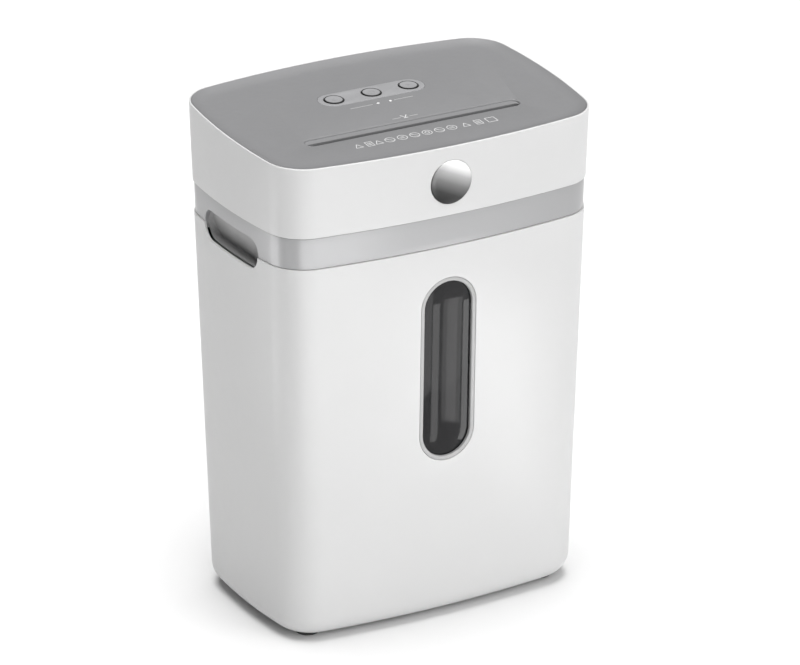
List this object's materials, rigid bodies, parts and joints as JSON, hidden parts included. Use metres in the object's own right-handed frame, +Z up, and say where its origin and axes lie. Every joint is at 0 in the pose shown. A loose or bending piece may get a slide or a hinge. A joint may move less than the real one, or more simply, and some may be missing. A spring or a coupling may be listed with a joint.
{
  "type": "paper shredder",
  "caption": "Free-standing paper shredder: a cutter head with feed slot and buttons that lifts off a waste bin with a capsule window.",
  "frame": {"origin": "on the floor under the middle of the object's box", "axes": "+Z up, +Y towards the back, +X to the right seen from the front"},
  "size_m": [0.3386, 0.2291, 0.4807],
  "materials": {
    "white_shell": "smooth semi-gloss moulded plastic",
    "pale_grey": "smooth semi-gloss moulded plastic",
    "smoked_lens": "polished smoked clear plastic",
    "rubber": "matt moulded rubber",
    "chrome": "polished plating with a fine brushed grain",
    "silver_band": "satin silver paint on plastic",
    "grey_panel": "fine matt moulded texture",
    "light_grey": "smooth satin moulded plastic",
    "black_plastic": "matt moulded plastic",
    "clear_plastic": "clear light pipe",
    "steel": "machined steel",
    "brass": "sintered bronze",
    "nylon": "natural nylon",
    "circuit_board": "green solder resist",
    "insulation": "red wire sleeve"
  },
  "bodies": {
    "bin": {"bin_shell": "white_shell", "window_frame": "pale_grey", "window_lens": "smoked_lens", "foot_front_left": "rubber", "foot_front_right": "rubber", "foot_back_left": "rubber", "foot_back_right": "rubber"},
    "head": {"upper_shell": "white_shell", "badge_disc": "chrome", "cord_gland": "rubber", "silver_band": "silver_band", "handle_cup_left": "pale_grey", "handle_cup_right": "pale_grey", "base_tray": "black_plastic", "housing_screw_front_left": "steel", "housing_screw_front_right": "steel", "housing_screw_back_left": "steel", "housing_screw_back_right": "steel", "top_panel": "grey_panel", "button_plate": "light_grey", "button_board": "circuit_board", "button_switch_left": "black_plastic", "button_switch_middle": "black_plastic", "button_switch_right": "black_plastic", "light_pipe_left": "clear_plastic", "light_pipe_right": "clear_plastic", "paper_guide": "black_plastic", "sensor_holder": "black_plastic", "comb_front": "black_plastic", "comb_rear": "black_plastic", "side_plate_left": "steel", "side_plate_right": "steel", "bush_front_left": "brass", "bush_front_right": "brass", "bush_rear_left": "brass", "bush_rear_right": "brass", "tie_rod_front": "steel", "tie_rod_rear": "steel", "gear_pin_first": "steel", "gear_pin_second": "steel", "motor_can": "steel", "motor_end_cap": "black_plastic", "power_board": "circuit_board", "relay": "black_plastic", "motor_lead": "insulation", "interlock_switch": "black_plastic"},
    "button_left": {"button_left": "light_grey"},
    "button_middle": {"button_middle": "light_grey"},
    "button_right": {"button_right": "light_grey"},
    "rear_cutter": {"rear_cutter": "steel", "rear_sync_gear": "nylon", "drive_gear": "nylon"},
    "front_cutter": {"front_cutter": "steel", "front_sync_gear": "nylon"},
    "second_gear": {"second_gear": "nylon"},
    "first_gear": {"first_gear": "nylon"},
    "rotor": {"rotor_shaft": "steel", "motor_pinion": "brass"},
    "paper_lever": {"paper_lever": "black_plastic"},
    "interlock_plunger": {"interlock_plunger": "nylon"}
  },
  "joints": [
    {"name": "head_lift", "type": "slide", "parent": "bin", "child": "head", "axis": [0, 0, 1], "range_m": [0, 0.12]},
    {"name": "button_left_press", "type": "slide", "parent": "head", "child": "button_left", "axis": [0, 0.0498, -0.9988], "range_m": [0, 0.0015], "stiffness_N_per_m": 600, "springref_m": -0.0005},
    {"name": "button_middle_press", "type": "slide", "parent": "head", "child": "button_middle", "axis": [0, 0.0498, -0.9988], "range_m": [0, 0.0015], "stiffness_N_per_m": 600, "springref_m": -0.0005},
    {"name": "button_right_press", "type": "slide", "parent": "head", "child": "button_right", "axis": [0, 0.0498, -0.9988], "range_m": [0, 0.0015], "stiffness_N_per_m": 600, "springref_m": -0.0005},
    {"name": "rear_cutter_spin", "type": "hinge", "parent": "head", "child": "rear_cutter", "pos_m": [0, -0.03, 0.41], "axis": [1, 0, 0], "continuous": true},
    {"name": "front_cutter_spin", "type": "hinge", "parent": "head", "child": "front_cutter", "pos_m": [0, -0.062, 0.41], "axis": [1, 0, 0], "continuous": true},
    {"name": "second_gear_spin", "type": "hinge", "parent": "head", "child": "second_gear", "pos_m": [0, -0.00274, 0.43351], "axis": [1, 0, 0], "continuous": true},
    {"name": "first_gear_spin", "type": "hinge", "parent": "head", "child": "first_gear", "pos_m": [0, 0.02886, 0.42591], "axis": [1, 0, 0], "continuous": true},
    {"name": "rotor_spin", "type": "hinge", "parent": "head", "child": "rotor", "pos_m": [0, 0.052, 0.412], "axis": [1, 0, 0], "continuous": true},
    {"name": "paper_lever_swing", "type": "hinge", "parent": "head", "child": "paper_lever", "pos_m": [0, -0.034, 0.45], "axis": [1, 0, 0], "range_deg": [0, 18], "stiffness_Nm_per_rad": 0.004, "springref_deg": -17.19},
    {"name": "interlock_drop", "type": "slide", "parent": "head", "child": "interlock_plunger", "axis": [0, 0, -1], "range_m": [0, 0.004]}
  ],
  "couplings": [
    {"joint": "front_cutter_spin", "follows": "rear_cutter_spin", "ratio": -1},
    {"joint": "second_gear_spin", "follows": "rear_cutter_spin", "ratio": -3},
    {"joint": "first_gear_spin", "follows": "rear_cutter_spin", "ratio": 10},
    {"joint": "rotor_spin", "follows": "rear_cutter_spin", "ratio": -44},
    {"joint": "interlock_drop", "follows": "head_lift", "ratio": 0.033333}
  ]
}
